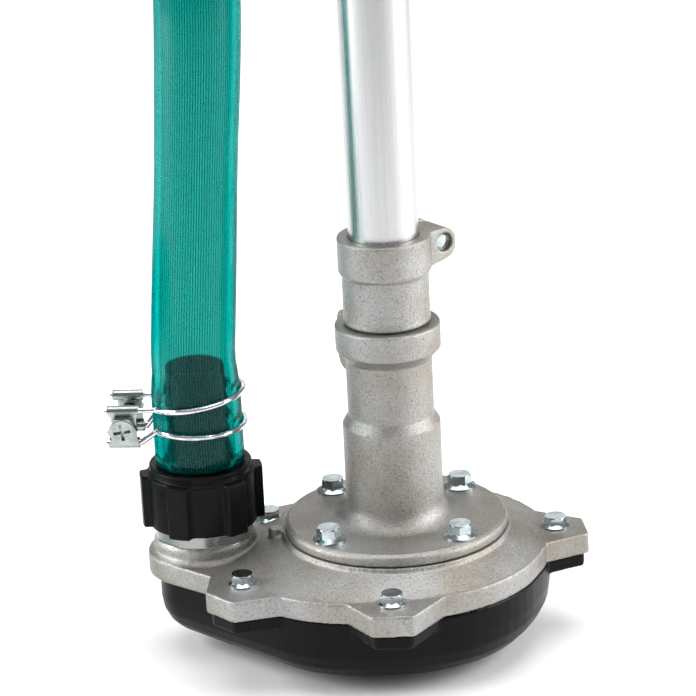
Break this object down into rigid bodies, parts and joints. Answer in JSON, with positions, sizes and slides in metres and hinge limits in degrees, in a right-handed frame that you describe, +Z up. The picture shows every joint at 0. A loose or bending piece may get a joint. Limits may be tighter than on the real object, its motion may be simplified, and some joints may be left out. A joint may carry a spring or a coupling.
{
  "type": "shaft-driven water pump head",
  "caption": "Submersible centrifugal pump head on a straight drive tube, with a union-nut outlet and a coiled delivery hose.",
  "frame": {"origin": "on the drive axis, in the plane that the pump stands on", "axes": "+Z up along the drive tube, -X towards the outlet, -Y towards the side with the two front cover lobes"},
  "size_m": [0.6375, 0.351, 0.634],
  "materials": {
    "strainer": "moulded, fine texture",
    "strainer_screw": "zinc plated",
    "casing": "satin moulded nylon",
    "gasket": "black paper-rubber",
    "cast_cover": "sand-cast, machined outlet neck",
    "cover_bolt": "pale blue zinc plated",
    "cover_nut": "pale blue zinc plated",
    "cast_housing": "sand-cast",
    "flange_bolt": "pale blue zinc plated",
    "seal_ceramic": "ground ceramic",
    "bearing_steel": "ground",
    "spacer": "turned",
    "circlip": "blackened spring steel",
    "seal_rubber": "nitrile",
    "cast_sleeve": "sand-cast",
    "tube": "drawn, satin anodised",
    "bush": "acetal",
    "clamp_bolt": "zinc plated",
    "barb": "moulded",
    "washer_rubber": "nitrile",
    "nut_plastic": "satin moulded",
    "wire": "bright zinc",
    "saddle": "pressed, zinc plated",
    "hose_clamp_bolt": "zinc plated",
    "shaft_steel": "ground stainless",
    "impeller": "moulded glass-filled nylon",
    "seal_carbon": "carbon face in rubber",
    "spring": "stainless wire",
    "coupling": "turned",
    "drive_steel": "ground, splined end",
    "cage": "pressed",
    "hose": "translucent ribbed PVC",
    "tie": "rubber strap"
  },
  "bodies": {
    "pump": {"intake_strainer": "strainer", "strainer_screws": "strainer_screw", "pump_casing": "casing", "cover_gasket": "gasket", "cover_plate": "cast_cover", "cover_bolts": "cover_bolt", "cover_nuts": "cover_nut", "flange_gasket": "gasket", "bearing_housing": "cast_housing", "flange_bolts": "flange_bolt", "seal_seat": "seal_ceramic", "bearing_outer_rings": "bearing_steel", "bearing_spacer": "spacer", "circlip": "circlip", "grease_seal": "seal_rubber", "clamp_sleeve": "cast_sleeve", "shaft_tube": "tube", "shaft_bushes": "bush", "hose_barb": "barb", "union_washer": "washer_rubber", "clamp_wire": "wire", "clamp_saddle": "saddle", "clamp_nut": "saddle", "hose_end": "hose", "delivery_hose": "hose", "hose_coil": "hose", "coil_ties": "tie"},
    "rotor": {"pump_shaft": "shaft_steel", "impeller": "impeller", "impeller_key": "shaft_steel", "impeller_washer": "shaft_steel", "impeller_nut": "shaft_steel", "seal_ring": "seal_carbon", "seal_spring": "spring", "bearing_inner_rings": "bearing_steel", "drive_coupling": "coupling", "drive_shaft": "drive_steel"},
    "ball_set": {"bearing_balls": "bearing_steel", "bearing_cages": "cage"},
    "union": {"union_nut": "nut_plastic"},
    "tube_screw": {"tube_clamp_screw": "clamp_bolt"},
    "sleeve_screw": {"sleeve_clamp_screw": "clamp_bolt"},
    "hose_screw": {"clamp_screw": "hose_clamp_bolt"}
  },
  "joints": [
    {"name": "rotor_spin", "type": "hinge", "parent": "pump", "child": "rotor", "pos_m": [0, 0, 0.1], "axis": [0, 0, 1], "continuous": true},
    {"name": "ball_set_spin", "type": "hinge", "parent": "pump", "child": "ball_set", "pos_m": [0, 0, 0.07], "axis": [0, 0, 1], "continuous": true},
    {"name": "union_nut_turn", "type": "hinge", "parent": "pump", "child": "union", "pos_m": [-0.0724, 0, 0.06], "axis": [0, 0, 1], "continuous": true},
    {"name": "tube_clamp_turn", "type": "hinge", "parent": "pump", "child": "tube_screw", "pos_m": [0.01524, 0.01325, 0.1553], "axis": [-0.6561, 0.7547, 0], "continuous": true},
    {"name": "sleeve_clamp_turn", "type": "hinge", "parent": "pump", "child": "sleeve_screw", "pos_m": [-0.0101, 0.01749, 0.113], "axis": [-0.866, -0.5, 0], "continuous": true},
    {"name": "hose_clamp_turn", "type": "hinge", "parent": "pump", "child": "hose_screw", "pos_m": [-0.0987, 0, 0.0918], "axis": [0, -1, 0], "continuous": true}
  ],
  "couplings": [
    {"joint": "ball_set_spin", "follows": "rotor_spin", "ratio": 0.385}
  ]
}
